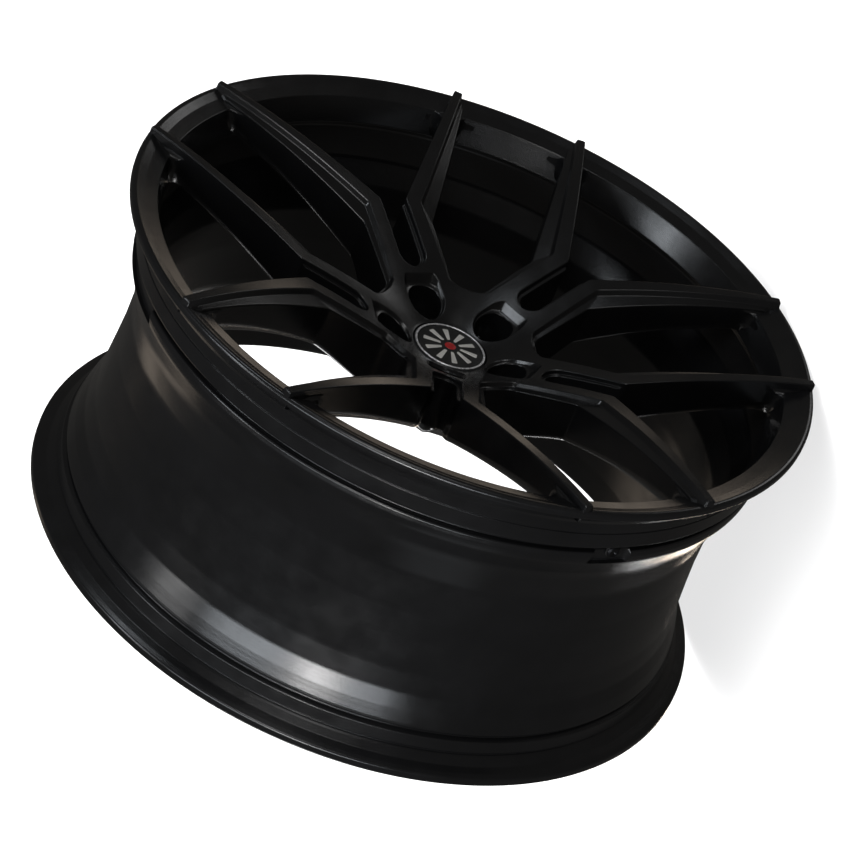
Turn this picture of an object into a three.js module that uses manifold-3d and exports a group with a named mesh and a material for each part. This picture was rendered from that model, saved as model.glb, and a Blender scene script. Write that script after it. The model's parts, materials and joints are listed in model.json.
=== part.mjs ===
// Forged monoblock road wheel, 22 x 10.5 inch, with five pairs of spokes, a snap-in centre cap and a clamp-in valve.
// Frame: the wheel stands upright and spins about +Y. Its face looks towards -Y, +Z is up, and the origin is
// on the axis, midway across the overall width. All sizes are in millimetres.
import * as THREE from "three";
import { mergeVertices } from "three/addons/utils/BufferGeometryUtils.js";
import Module from "manifold-3d";

const wasm = await Module();
wasm.setup();

// ---------------------------------------------------------------- driving dimensions
const FLANGE_R = 297; // radius over the flanges: a 22 inch bead seat and two 17.5 mm flanges
const WIDTH = 295; // overall width, spoke tips to rear flange
const TIP_RISE = 4.6; // the spoke tips stand this far in front of the front flange
const GAP = 0.3; // clearance between neighbouring solids
const RING_STEPS = 60; // facets round the rim: five equal sectors of twelve
const SMALL_STEPS = 36; // facets round the small turned pieces
const SECTOR = THREE.MathUtils.degToRad(72);
const PAIRS = 5;

const DISH_SLOPE = 0.572; // the face is a paraboloid dish: its slope and curvature over one flange radius
const DISH_CURVE = 0.26;
const LEDGE_DROP = 5.5; // the stepped ledges lie this far below the face
const HUB_R = 84.5; // the hub ends and the spokes begin here

const PAD_Y = -35; // mounting face (offset 35 mm towards the face)
const PAD_R = 80;
const BORE_R = 33.3; // centre bore
const BORE_DEPTH = 17;
const THROAT_R = 29.3; // the cap snaps through this throat
const CAP_R = 32; // centre cap flange
const CAP_SEAT_Y = -66;
const CAP_FACE_Y = -73.6;

const LUG_PCD_R = 56; // five bolt holes on a 112 mm circle
const LUG_HOLE_R = 7.5;
const LUG_BORE_R = 17.8;
const LUG_FLOOR_Y = -54;
const LUG_CONE = 6;
const POCKET_END_R = 74.2; // outer end of the pocket that opens each bolt bore
const POCKET_FLOOR_Y = -80.6;

const WINDOW_EDGE = [0.919, 0.0254]; // the windows' outer edge on the lip, and their wall's rear edge
const WALL_EDGE = [0.8955, 0.1];
const LIP_EDGE = [0.985, 0.002]; // where the lip's face meets the front flange
const LIP_CORNER = [0.9588, 0.0138];

const SLOT_HALF = 12.9; // half width of the slot between neighbouring pairs, at the face
const SLOT_LEDGE = 3.5;
const SLOT_END_R = 81;

const VALVE_TURN = THREE.MathUtils.degToRad(252); // the valve's place, clockwise from the top seen from the face
const VALVE_Y = -86;
const HUMP_FLOOR_R = 272.6; // the hump behind the front bead seat is milled down to this radius in two places
const HUMP_FRONT_Y = -92.6;
const HUMP_REAR_Y = -75.5;
const HUMP_GAPS = [
  [VALVE_TURN, 16],
  [0, 54],
]; // middle angle and half the length of each gap
const THROUGH = 400; // length of a cut that passes everything

// ---------------------------------------------------------------- helpers
const crownY = TIP_RISE - WIDTH / 2; // plane of the front flange
const fromFace = (share) => crownY + share * FLANGE_R; // depth behind the front flange, as a share of its radius
const dishY = (r) => {
  const q = r / FLANGE_R;
  return -WIDTH / 2 + FLANGE_R * (DISH_SLOPE * (1 - q) - DISH_CURVE * (1 - q * q));
};
// Back of the spokes: they grow deeper towards the hub.
const backY = (r) => {
  const q = 0.9 - r / FLANGE_R;
  return fromFace(0.095 + 0.18 * q + 0.333 * q * q);
};

function toSolid(geometry) {
  const bare = geometry.clone();
  bare.deleteAttribute("normal");
  bare.deleteAttribute("uv");
  const merged = mergeVertices(bare, 1e-4);
  const all = merged.index.array;
  const kept = [];
  for (let i = 0; i < all.length; i += 3) {
    const [a, b, c] = [all[i], all[i + 1], all[i + 2]];
    if (a !== b && b !== c && a !== c) kept.push(a, b, c);
  }
  return new wasm.Manifold(
    new wasm.Mesh({
      numProp: 3,
      vertProperties: merged.attributes.position.array,
      triVerts: new Uint32Array(kept),
    }),
  );
}

function toGeometry(solid) {
  const mesh = solid.getMesh();
  const geometry = new THREE.BufferGeometry();
  geometry.setAttribute("position", new THREE.BufferAttribute(mesh.vertProperties, 3));
  geometry.setIndex(new THREE.BufferAttribute(mesh.triVerts, 1));
  geometry.computeVertexNormals();
  return geometry;
}

// A closed [radius, y] outline turned about the Y axis.
function revolve(outline, steps = RING_STEPS) {
  const points = outline.map(([r, y]) => new THREE.Vector2(r, y));
  if (THREE.ShapeUtils.area(points) < 0) points.reverse();
  points.push(points[0].clone());
  return toSolid(new THREE.LatheGeometry(points, steps));
}

// A flat shape (x to the right, y up as seen from the face) given depth along Y.
function extrudeY(shape, fromY, toY, curveSegments = 6) {
  const geometry = new THREE.ExtrudeGeometry(shape, {
    depth: toY - fromY,
    bevelEnabled: false,
    curveSegments,
  });
  geometry.rotateX(Math.PI / 2);
  geometry.translate(0, toY, 0);
  return toSolid(geometry);
}

function turned(solid, angle) {
  const geometry = toGeometry(solid);
  geometry.rotateY(angle);
  return toSolid(geometry);
}

// Round wire along the path that place(t) gives for t from 0 to 1.
class WirePath extends THREE.Curve {
  constructor(place) {
    super();
    this.place = place;
  }
  getPoint(t, target = new THREE.Vector3()) {
    return target.set(...this.place(t));
  }
}
function wirePiece(radius, steps, place) {
  const section = new THREE.Shape();
  section.absarc(0, 0, radius, 0, 2 * Math.PI);
  const extrudePath = new WirePath(place);
  const wire = new THREE.ExtrudeGeometry(section, { steps, curveSegments: 3, extrudePath });
  return toGeometry(toSolid(wire));
}

// A closed shape through corners [x, y, rounding radius], each corner rounded by an arc.
function roundedShape(corners, arcSteps = 3) {
  const points = [];
  corners.forEach(([x, y, radius = 0], i) => {
    const here = new THREE.Vector2(x, y);
    if (!radius) {
      points.push(here);
      return;
    }
    const [px, py] = corners[(i + corners.length - 1) % corners.length];
    const [nx, ny] = corners[(i + 1) % corners.length];
    const back = new THREE.Vector2(px, py).sub(here).normalize();
    const ahead = new THREE.Vector2(nx, ny).sub(here).normalize();
    const half = Math.acos(THREE.MathUtils.clamp(back.dot(ahead), -1, 1)) / 2;
    const reach = radius / Math.tan(half);
    const centre = back.clone().add(ahead).normalize().multiplyScalar(radius / Math.sin(half)).add(here);
    const start = back.multiplyScalar(reach).add(here).sub(centre);
    const end = ahead.multiplyScalar(reach).add(here).sub(centre);
    const sweep = Math.atan2(start.cross(end), start.dot(end));
    for (let k = 0; k <= arcSteps; k++) {
      const p = start.clone().rotateAround(new THREE.Vector2(), (sweep * k) / arcSteps);
      points.push(p.add(centre));
    }
  });
  return new THREE.Shape(points);
}

const mirrored = (corners) => corners.map(([x, y, r]) => [-x, y, r]).reverse();
const scaled = (corners) => corners.map(([x, y, r = 0]) => [x * FLANGE_R, y * FLANGE_R, r]);

// ---------------------------------------------------------------- materials
const paint = new THREE.MeshStandardMaterial({ color: 0x16161a, roughness: 0.38, metalness: 0.35 });
const capBlack = new THREE.MeshStandardMaterial({ color: 0x121214, roughness: 0.45, metalness: 0.0 });
const chrome = new THREE.MeshStandardMaterial({ color: 0xd8d8dc, roughness: 0.12, metalness: 1.0 });
const emblemBlack = new THREE.MeshStandardMaterial({ color: 0x1c1c1f, roughness: 0.3, metalness: 0.0 });
const springSteel = new THREE.MeshStandardMaterial({ color: 0x9a9a9c, roughness: 0.35, metalness: 1.0 });
const anodised = new THREE.MeshStandardMaterial({ color: 0x2a2a2e, roughness: 0.4, metalness: 0.8 });
const rubber = new THREE.MeshStandardMaterial({ color: 0x141414, roughness: 0.85, metalness: 0.0 });
const brass = new THREE.MeshStandardMaterial({ color: 0xb08d45, roughness: 0.3, metalness: 1.0 });

const wheel = new THREE.Group();
function add(name, geometry, material, parent = wheel) {
  const mesh = new THREE.Mesh(geometry, material);
  mesh.name = name;
  parent.add(mesh);
  return mesh;
}

// ---------------------------------------------------------------- rim barrel
const rearShare = (WIDTH - TIP_RISE) / FLANGE_R;
// Outside, front flange to rear flange, as [share of flange radius, depth share].
const barrelOutside = [
  LIP_EDGE,
  [1.0, 0.008],
  [1.0, 0.024],
  [0.976, 0.05],
  [0.952, 0.066],
  [0.94, 0.082],
  [0.9355, 0.17],
  [0.9125, 0.18],
  [0.9125, 0.187],
  [0.932, 0.191],
  [0.932, 0.224],
  [0.8955, 0.3],
  [0.875, 0.4],
  [0.882, 0.6],
  [0.902, 0.764],
  [0.928, 0.845],
  [0.918, 0.862],
  [0.939, 0.868],
  [0.941, 0.905],
  [0.962, 0.93],
  [1.0, 0.942],
  [1.0, 0.96],
  [0.985, rearShare],
];
const barrelInside = [
  [0.945, rearShare],
  [0.915, 0.955],
  [0.902, 0.86],
  [0.87, 0.72],
  [0.853, 0.5],
  [0.855, 0.38],
  [0.872, 0.3],
  [0.905, 0.225],
  [0.905, 0.112],
  WALL_EDGE,
];
const lipFace = [WINDOW_EDGE, LIP_CORNER];
const shares = (outline) => outline.map(([r, d]) => [r * FLANGE_R, fromFace(d)]);
let rim = revolve(shares([...barrelOutside, ...barrelInside, ...lipFace]));

// Everything inside the inner wall of the lip, and in front of it, belongs to the spokes.
const lipKeepOut = revolve([
  [WALL_EDGE[0] * FLANGE_R - GAP, fromFace(WALL_EDGE[1])],
  [WINDOW_EDGE[0] * FLANGE_R - GAP, fromFace(WINDOW_EDGE[1]) - GAP],
  [LIP_CORNER[0] * FLANGE_R, fromFace(LIP_CORNER[1]) - GAP],
  [LIP_EDGE[0] * FLANGE_R, fromFace(LIP_EDGE[1]) - GAP],
  [THROUGH, fromFace(LIP_EDGE[1]) - GAP],
  [THROUGH, 0],
  [WALL_EDGE[0] * FLANGE_R - GAP, 0],
]);

// A slice of the whole wheel, straight up from the axis, with this half angle.
function slice(halfAngle) {
  const side = THROUGH * Math.tan(halfAngle);
  const corners = [new THREE.Vector2(0, 0), new THREE.Vector2(side, THROUGH), new THREE.Vector2(-side, THROUGH)];
  return extrudeY(new THREE.Shape(corners), -THROUGH / 2, THROUGH / 2);
}
const humpBand = revolve([
  [HUMP_FLOOR_R, HUMP_FRONT_Y],
  [FLANGE_R, HUMP_FRONT_Y],
  [FLANGE_R, HUMP_REAR_Y],
  [HUMP_FLOOR_R, HUMP_REAR_Y],
]);
for (const [middle, halfLength] of HUMP_GAPS) {
  const gap = turned(slice(halfLength / HUMP_FLOOR_R), middle).intersect(humpBand);
  rim = rim.subtract(gap);
}
const VALVE_HOLE_R = 5.6;
function radialHole() {
  const drill = new THREE.CylinderGeometry(VALVE_HOLE_R, VALVE_HOLE_R, 60, 24);
  drill.translate(0, HUMP_FLOOR_R, 0);
  drill.rotateX(Math.PI / 2);
  drill.translate(0, VALVE_Y, 0);
  return toSolid(drill);
}
rim = rim.subtract(turned(radialHole(), VALVE_TURN));
add("rim_barrel", toGeometry(rim), paint);

// ---------------------------------------------------------------- openings between the spokes
// Outlines for one sector, with the middle of a spoke pair pointing up. Shares of the flange radius.
// Window inside a pair: cut through at its inner edge.
const pairWindowSide = [
  [0.167, 0.95, 0],
  [0.152, 0.4094, 6],
  [0.0518, 0.2635, 10],
];
const pairWindow = scaled([...pairWindowSide, ...mirrored(pairWindowSide)]);
// The same window at the face, where the top band ends and the ledge begins.
const pairBandSide = [
  [0.1823, 1.03, 0],
  [0.2036, 0.4347, 6],
  [0.0585, 0.2447, 9],
  [0.016, 0.2325, 30],
];
const pairBand = scaled([...pairBandSide, ...mirrored(pairBandSide)]);
// Window and slot between two pairs, with the slot pointing up.
const slotInner = (SLOT_HALF - SLOT_LEDGE) / FLANGE_R;
const slotOuter = SLOT_HALF / FLANGE_R;
const slotSide = (half, endR, kink) => [
  [0.3949, 1.1, 0],
  [kink, 0.487, 4],
  [half, 0.48, 0],
  [half, endR / FLANGE_R, (half - 0.0005) * FLANGE_R],
];
const slotWindow = scaled([
  ...slotSide(slotInner, SLOT_END_R + SLOT_LEDGE, slotOuter),
  ...mirrored(slotSide(slotInner, SLOT_END_R + SLOT_LEDGE, slotOuter)),
]);
const slotBand = scaled([
  ...slotSide(slotOuter, SLOT_END_R, slotOuter + 0.0002),
  ...mirrored(slotSide(slotOuter, SLOT_END_R, slotOuter + 0.0002)),
]);

// A turned body between a front surface and the spokes' back, out to the lip.
function zone(frontOf, radii, backOf) {
  const front = radii.map((r) => [r, frontOf(r)]);
  const back = [...radii].reverse().map((r) => [r, backOf(r)]);
  return revolve([...front, ...back]);
}
const spokeRadii = [60, 100, 145, 195, 245];
const ledgeRadii = [...spokeRadii, WINDOW_EDGE[0] * FLANGE_R - GAP];
const bandRadii = [...spokeRadii, FLANGE_R - 0.4];
const ledgeZone = zone((r) => dishY(r) + LEDGE_DROP, ledgeRadii, backY);
const bandZone = zone(dishY, bandRadii, backY);

const pairCut = extrudeY(roundedShape(pairWindow), -THROUGH / 2, THROUGH / 2);
const pairBandCut = extrudeY(roundedShape(pairBand), -THROUGH / 2, THROUGH / 2);
const slotCut = extrudeY(roundedShape(slotWindow), -THROUGH / 2, THROUGH / 2);
const slotBandCut = extrudeY(roundedShape(slotBand), -THROUGH / 2, THROUGH / 2);
const halfSector = SECTOR / 2;

// One spoke: the stretch between the pair's middle line and the next slot's middle line, less both openings.
function spoke(side) {
  const reach = 340;
  const wedge = extrudeY(
    new THREE.Shape([
      new THREE.Vector2(0, 0),
      new THREE.Vector2(0, reach),
      new THREE.Vector2(side * reach * Math.tan(halfSector), reach),
    ]),
    -THROUGH / 2,
    THROUGH / 2,
  );
  const root = revolve([
    [0, -THROUGH / 2],
    [HUB_R + GAP, -THROUGH / 2],
    [HUB_R + GAP, THROUGH / 2],
    [0, THROUGH / 2],
  ]);
  const slot = turned(slotCut, side * halfSector);
  const slotBandHere = turned(slotBandCut, side * halfSector);
  const low = ledgeZone.intersect(wedge).subtract(pairCut).subtract(slot);
  const high = bandZone.intersect(wedge).subtract(pairBandCut).subtract(slotBandHere);
  return low.add(high).subtract(root).subtract(lipKeepOut);
}
const spokes = { left: toGeometry(spoke(-1)), right: toGeometry(spoke(1)) };
for (let pair = 0; pair < PAIRS; pair++) {
  const middle = SECTOR * (pair + 0.5);
  for (const [i, side] of ["left", "right"].entries()) {
    add("spoke_" + (2 * pair + i + 1), spokes[side], paint).rotation.y = middle;
  }
}

// ---------------------------------------------------------------- hub
const hubRadii = [CAP_R + 0.6, 58, HUB_R];
let hub = revolve([
  ...hubRadii.map((r) => [r, dishY(r)]),
  [HUB_R, backY(HUB_R)],
  [PAD_R, PAD_Y],
  [BORE_R + 1, PAD_Y],
  [BORE_R, PAD_Y - 1],
  [BORE_R, PAD_Y - BORE_DEPTH],
  [THROAT_R, PAD_Y - BORE_DEPTH],
  [THROAT_R, CAP_SEAT_Y],
  [CAP_R + 0.6, CAP_SEAT_Y],
]);
const hubLedge = revolve([
  ...[20, ...hubRadii, 90].map((r) => [r, dishY(r) + LEDGE_DROP]),
  [90, -THROUGH / 2],
  [20, -THROUGH / 2],
]);
const pairLedgeCut = pairBandCut.intersect(hubLedge);
const slotLedgeCut = slotBandCut.intersect(hubLedge);

// Bolt bore with its conical seat, and the pocket that opens it outwards at the face.
const lugBore = revolve(
  [
    [0, -THROUGH / 2],
    [LUG_BORE_R, -THROUGH / 2],
    [LUG_BORE_R, LUG_FLOOR_Y],
    [LUG_HOLE_R + LUG_CONE, LUG_FLOOR_Y],
    [LUG_HOLE_R, LUG_FLOOR_Y + 1.7 * LUG_CONE],
    [LUG_HOLE_R, THROUGH / 2],
    [0, THROUGH / 2],
  ],
  24,
);
const placedBore = toGeometry(lugBore).translate(0, 0, LUG_PCD_R);
const lugPocket = extrudeY(
  roundedShape([
    [-LUG_BORE_R, LUG_PCD_R, 0],
    [-LUG_BORE_R, 66, 5],
    [-14, POCKET_END_R, 2.5],
    [14, POCKET_END_R, 2.5],
    [LUG_BORE_R, 66, 5],
    [LUG_BORE_R, LUG_PCD_R, 0],
  ]),
  -THROUGH / 2,
  POCKET_FLOOR_Y,
);
const lugOpening = toSolid(placedBore).add(lugPocket);
for (let k = 0; k < PAIRS; k++) {
  const middle = SECTOR * (k + 0.5);
  hub = hub.subtract(turned(pairCut, middle)).subtract(turned(pairLedgeCut, middle));
  hub = hub.subtract(turned(slotCut, SECTOR * k)).subtract(turned(slotLedgeCut, SECTOR * k));
  hub = hub.subtract(turned(lugOpening, SECTOR * k));
}
add("wheel_hub", toGeometry(hub), paint);

// ---------------------------------------------------------------- centre cap
const RING_R = 29.9;
const EMBLEM_R = 28.4;
const SKIRT_R = 28.6;
const SKIRT_IN_R = 26.2;
const SKIRT_END_Y = -49.6;
const LEG_SLITS = 6;
let cap = revolve(
  [
    [0, CAP_FACE_Y + 1.8],
    [EMBLEM_R + GAP, CAP_FACE_Y + 1.8],
    [EMBLEM_R + GAP, CAP_FACE_Y + 1],
    [RING_R + 1.2, CAP_FACE_Y + 1],
    [CAP_R, CAP_FACE_Y + 1.6],
    [CAP_R, CAP_SEAT_Y - GAP],
    [SKIRT_R, CAP_SEAT_Y - GAP],
    [SKIRT_R, SKIRT_END_Y - 1.6],
    [SKIRT_R + 0.4, SKIRT_END_Y - 1.2],
    [SKIRT_R - 0.4, SKIRT_END_Y],
    [SKIRT_IN_R, SKIRT_END_Y],
    [SKIRT_IN_R, SKIRT_END_Y - 3],
    [SKIRT_IN_R + 0.9, SKIRT_END_Y - 3.5],
    [SKIRT_IN_R + 0.9, SKIRT_END_Y - 5.2],
    [SKIRT_IN_R, SKIRT_END_Y - 5.7],
    [SKIRT_IN_R, CAP_SEAT_Y + 1.5],
    [0, CAP_SEAT_Y + 1.5],
  ],
  SMALL_STEPS,
);
const slitTop = CAP_SEAT_Y + 4;
for (let k = 0; k < LEG_SLITS / 2; k++) {
  const slit = new THREE.BoxGeometry(3, SKIRT_END_Y - slitTop + 5, 4 * SKIRT_R);
  slit.translate(0, (slitTop + SKIRT_END_Y + 5) / 2, 0);
  cap = cap.subtract(turned(toSolid(slit), (Math.PI * (k + 0.5)) / (LEG_SLITS / 2)));
}
add("centre_cap_body", toGeometry(cap), capBlack);

const trimRing = revolve(
  [
    [RING_R - 0.95, CAP_FACE_Y + 1 - GAP],
    [RING_R - 0.75, CAP_FACE_Y + 0.15],
    [RING_R, CAP_FACE_Y],
    [RING_R + 0.75, CAP_FACE_Y + 0.15],
    [RING_R + 0.95, CAP_FACE_Y + 1 - GAP],
  ],
  SMALL_STEPS,
);
add("centre_cap_ring", toGeometry(trimRing), chrome);

const emblem = revolve(
  [
    [0, CAP_FACE_Y + 0.2],
    [EMBLEM_R * 0.6, CAP_FACE_Y + 0.35],
    [EMBLEM_R, CAP_FACE_Y + 0.9],
    [EMBLEM_R, CAP_FACE_Y + 1.8 - GAP],
    [0, CAP_FACE_Y + 1.8 - GAP],
  ],
  SMALL_STEPS,
);
add("centre_cap_emblem", toGeometry(emblem), emblemBlack);

// Split wire ring that lies in the groove inside the skirt and presses the legs outwards.
const WIRE_R = 0.8;
const wireCentreR = SKIRT_IN_R + 0.9 - WIRE_R - GAP;
const wireOpen = THREE.MathUtils.degToRad(40);
const snapRing = wirePiece(WIRE_R, 30, (t) => {
  const a = wireOpen / 2 + t * (2 * Math.PI - wireOpen);
  return [wireCentreR * Math.sin(a), SKIRT_END_Y - 4.35, wireCentreR * Math.cos(a)];
});
add("centre_cap_spring", snapRing, springSteel);

// ---------------------------------------------------------------- valve
// Turned pieces in the valve's own frame: +Y points from the floor of its gap towards the wheel's axis.
const WALL = HUMP_FLOOR_R - 0.905 * FLANGE_R;
const STEM_R = 4;
const STEM_END = 36;
const CORE_R = 2.3;
const turnedPiece = (outline, steps = 16) => toGeometry(revolve(outline, steps));

const valve = new THREE.Group();
valve.rotation.order = "YXZ";
valve.rotation.set(-Math.PI / 2, VALVE_TURN, 0);
valve.position.set(
  HUMP_FLOOR_R * Math.sin(VALVE_TURN),
  VALVE_Y,
  HUMP_FLOOR_R * Math.cos(VALVE_TURN),
);
wheel.add(valve);

add(
  "valve_stem",
  turnedPiece([
    [1.2, -4],
    [4.6, -4],
    [6, -2.8],
    [6, -1.8],
    [STEM_R, -1.8],
    [STEM_R, 13],
    [3.6, 14],
    [3.6, 24],
    [3.9, 24.5],
    [3.9, STEM_END],
    [CORE_R + GAP, STEM_END],
    [CORE_R + GAP, 17.5],
    [1.2, 16],
  ]),
  anodised,
  valve,
);
add(
  "valve_grommet",
  turnedPiece([
    [STEM_R + GAP, -1.5],
    [6, -1.5],
    [6, -GAP],
    [5.3, -GAP],
    [5.3, WALL - 0.8],
    [STEM_R + GAP, WALL - 0.8],
  ]),
  rubber,
  valve,
);
add(
  "valve_washer",
  turnedPiece([
    [STEM_R + GAP, WALL + 0.6],
    [8, WALL + 0.6],
    [8, WALL + 1.6],
    [STEM_R + GAP, WALL + 1.6],
  ]),
  anodised,
  valve,
);
const hexNut = new THREE.CylinderGeometry(7, 7, 5, 6);
hexNut.translate(0, WALL + 1.9 + 2.5, 0);
const nutBore = new THREE.CylinderGeometry(STEM_R + GAP, STEM_R + GAP, 12, 20);
nutBore.translate(0, WALL + 4, 0);
add("valve_nut", toGeometry(toSolid(hexNut).subtract(toSolid(nutBore))), anodised, valve);
// The core's pin seals from below, and a spring between the core's floor and the pin's collar pulls it shut.
const CORE_FOOT = 21;
const CORE_FLOOR = 23.5;
const CORE_TOP = 33.5;
const PIN_R = 0.6;
const COLLAR = 31.6;
add(
  "valve_core_body",
  turnedPiece([
    [PIN_R + GAP, CORE_FOOT],
    [1.9, CORE_FOOT],
    [CORE_R, CORE_FLOOR],
    [CORE_R, CORE_TOP],
    [1.8, CORE_TOP],
    [1.8, CORE_FLOOR],
    [PIN_R + GAP, CORE_FLOOR],
  ]),
  brass,
  valve,
);
add(
  "valve_core_pin",
  turnedPiece(
    [
      [0, CORE_FOOT - 1.3],
      [1.5, CORE_FOOT - 1.3],
      [1.5, CORE_FOOT - GAP],
      [PIN_R, CORE_FOOT - GAP],
      [PIN_R, COLLAR],
      [1.4, COLLAR],
      [1.4, COLLAR + 0.8],
      [PIN_R, COLLAR + 0.8],
      [PIN_R, 35.2],
      [0, 35.2],
    ],
    12,
  ),
  brass,
  valve,
);
const COIL_R = 1.2;
const COIL_WIRE_R = 0.2;
const COIL_TURNS = 4;
const coil = wirePiece(COIL_WIRE_R, 40, (t) => {
  const a = 2 * Math.PI * COIL_TURNS * t;
  const foot = CORE_FLOOR + COIL_WIRE_R + 0.1;
  const head = COLLAR - COIL_WIRE_R - 0.1;
  return [COIL_R * Math.sin(a), foot + (head - foot) * t, COIL_R * Math.cos(a)];
});
add("valve_core_spring", coil, springSteel, valve);

const CAP_MOUTH = 25.5;
const CAP_TOP = 40;
add(
  "valve_cap",
  turnedPiece([
    [3.9 + GAP, CAP_MOUTH],
    [5.3, CAP_MOUTH],
    [5.3, CAP_TOP - 1],
    [4.3, CAP_TOP],
    [0, CAP_TOP],
    [0, CAP_TOP - 1.6],
    [3.9 + GAP, CAP_TOP - 1.6],
  ]),
  capBlack,
  valve,
);
add(
  "valve_cap_seal",
  turnedPiece([
    [2.2, STEM_END + GAP],
    [3.8, STEM_END + GAP],
    [3.8, CAP_TOP - 1.9],
    [2.2, CAP_TOP - 1.9],
  ]),
  rubber,
  valve,
);

export default wheel;
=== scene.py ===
"""Looks of the forged road wheel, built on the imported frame.

Shapes are worked out in millimetres in the wheel's own frame: the axis is Y, the face looks
towards -Y and Z is up.
"""

import json
import math

import bpy
import numpy as np
from mathutils import Matrix, Vector
from mathutils.geometry import delaunay_2d_cdt, tessellate_polygon

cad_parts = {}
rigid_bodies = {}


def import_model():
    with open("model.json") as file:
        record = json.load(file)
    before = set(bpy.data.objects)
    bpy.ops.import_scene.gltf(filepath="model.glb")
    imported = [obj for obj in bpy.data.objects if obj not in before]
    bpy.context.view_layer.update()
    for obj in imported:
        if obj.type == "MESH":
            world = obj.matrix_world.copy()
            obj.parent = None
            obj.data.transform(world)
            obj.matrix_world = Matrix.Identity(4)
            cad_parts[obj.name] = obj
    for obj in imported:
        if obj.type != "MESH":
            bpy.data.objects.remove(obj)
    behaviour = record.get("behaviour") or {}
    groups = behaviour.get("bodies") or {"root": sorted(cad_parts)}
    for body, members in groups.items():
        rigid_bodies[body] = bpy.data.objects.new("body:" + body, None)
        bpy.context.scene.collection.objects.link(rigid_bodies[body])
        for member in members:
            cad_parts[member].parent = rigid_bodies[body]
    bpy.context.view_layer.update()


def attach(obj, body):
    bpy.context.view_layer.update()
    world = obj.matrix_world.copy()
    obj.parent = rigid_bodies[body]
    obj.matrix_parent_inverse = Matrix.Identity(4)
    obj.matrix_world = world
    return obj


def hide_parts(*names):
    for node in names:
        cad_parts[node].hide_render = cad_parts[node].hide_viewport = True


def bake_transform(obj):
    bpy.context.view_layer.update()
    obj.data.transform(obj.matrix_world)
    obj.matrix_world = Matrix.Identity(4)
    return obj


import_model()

MM = 0.001
SHARE = 297.0  # the flanges' radius; the proportions below are shares of it
CROWN_Y = -142.9  # plane of the front flange
TIP_Y = -147.48  # level of the spokes' face at the flange's radius
REAR_Y = 147.48
PAD_Y = -35.0  # the hub's mounting pad
PAD_R = 79.5
PAD_BLEND = 6.0
LIP_R = 0.919  # inner edge of the lip, in shares
LIP_DEPTH = 0.0254
LIP_Y = CROWN_Y + LIP_DEPTH * SHARE
WALL_DRAFT = 0.027  # how far the windows' wall at the rim leans in over WALL_DEPTH
WALL_DEPTH = 0.0731
SECTOR = math.radians(72)


# -------------------- surfaces of the face
def dish(r):
    """Level of the face, which sinks from the flange to the hub."""
    q = np.asarray(r) / SHARE
    return TIP_Y + SHARE * (0.572 * (1 - q) - 0.26 * (1 - q * q))


def smooth(t):
    t = np.clip(t, 0, 1)
    return t * t * (3 - 2 * t)


def spoke_back(r):
    """Level of the spokes' rear edge, deepest at the hub."""
    q = 0.9 - np.asarray(r) / SHARE
    return CROWN_Y + SHARE * (0.095 + 0.18 * q + 0.333 * q * q)


def back(r):
    """The spokes' back, running into the flat mounting pad."""
    t = smooth((np.asarray(r) - PAD_R) / PAD_BLEND)
    return (1 - t) * PAD_Y + t * spoke_back(r)


def slope(f, r, step=0.01):
    return (f(r + step) - f(r - step)) / (2 * step)


def lip_wall_r(y):
    """Radius of the drafted wall that the windows have at the rim."""
    depth = (np.asarray(y) - CROWN_Y) / SHARE
    return SHARE * (LIP_R - WALL_DRAFT * (depth - LIP_DEPTH) / WALL_DEPTH)


def surface_normal(f, pts, front):
    """Normals of the turned surface y = f(r) at plan points, facing the front or the back."""
    r = np.linalg.norm(pts, axis=1)
    s = slope(f, r)
    safe = np.maximum(r, 1e-6)
    n = np.stack([s * pts[:, 0] / safe, -np.ones(len(r)), s * pts[:, 1] / safe], 1)
    n /= np.linalg.norm(n, axis=1)[:, None]
    return n if front else -n


# -------------------- plan curves
ARC_POINTS = 33
GATHER = 0.78  # how strongly points gather near the marks, from 0 to 1


def rounded(corners):
    """A dense polyline through corners (x, z, radius), each rounded by an arc."""
    c = [np.array(p[:2], float) for p in corners]
    out = [c[0][None]]
    for i in range(1, len(c) - 1):
        radius = corners[i][2]
        a = (c[i - 1] - c[i]) / np.linalg.norm(c[i - 1] - c[i])
        b = (c[i + 1] - c[i]) / np.linalg.norm(c[i + 1] - c[i])
        half = math.acos(max(-1, min(1, float(a @ b)))) / 2
        if half > math.pi / 2 - 1e-3:
            out.append(c[i][None])
            continue
        reach = radius / math.tan(half)
        mid = (a + b) / np.linalg.norm(a + b)
        centre = c[i] + mid * radius / math.sin(half)
        p, q = c[i] + a * reach - centre, c[i] + b * reach - centre
        sweep = math.atan2(p[0] * q[1] - p[1] * q[0], p @ q)
        t = np.linspace(0, sweep, ARC_POINTS)
        cos, sin = np.cos(t), np.sin(t)
        out.append(centre + np.stack([p[0] * cos - p[1] * sin, p[0] * sin + p[1] * cos], 1))
    out.append(c[-1][None])
    pts = np.concatenate(out)
    keep = np.r_[True, np.linalg.norm(np.diff(pts, axis=0), axis=1) > 1e-6]
    return pts[keep]


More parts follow.
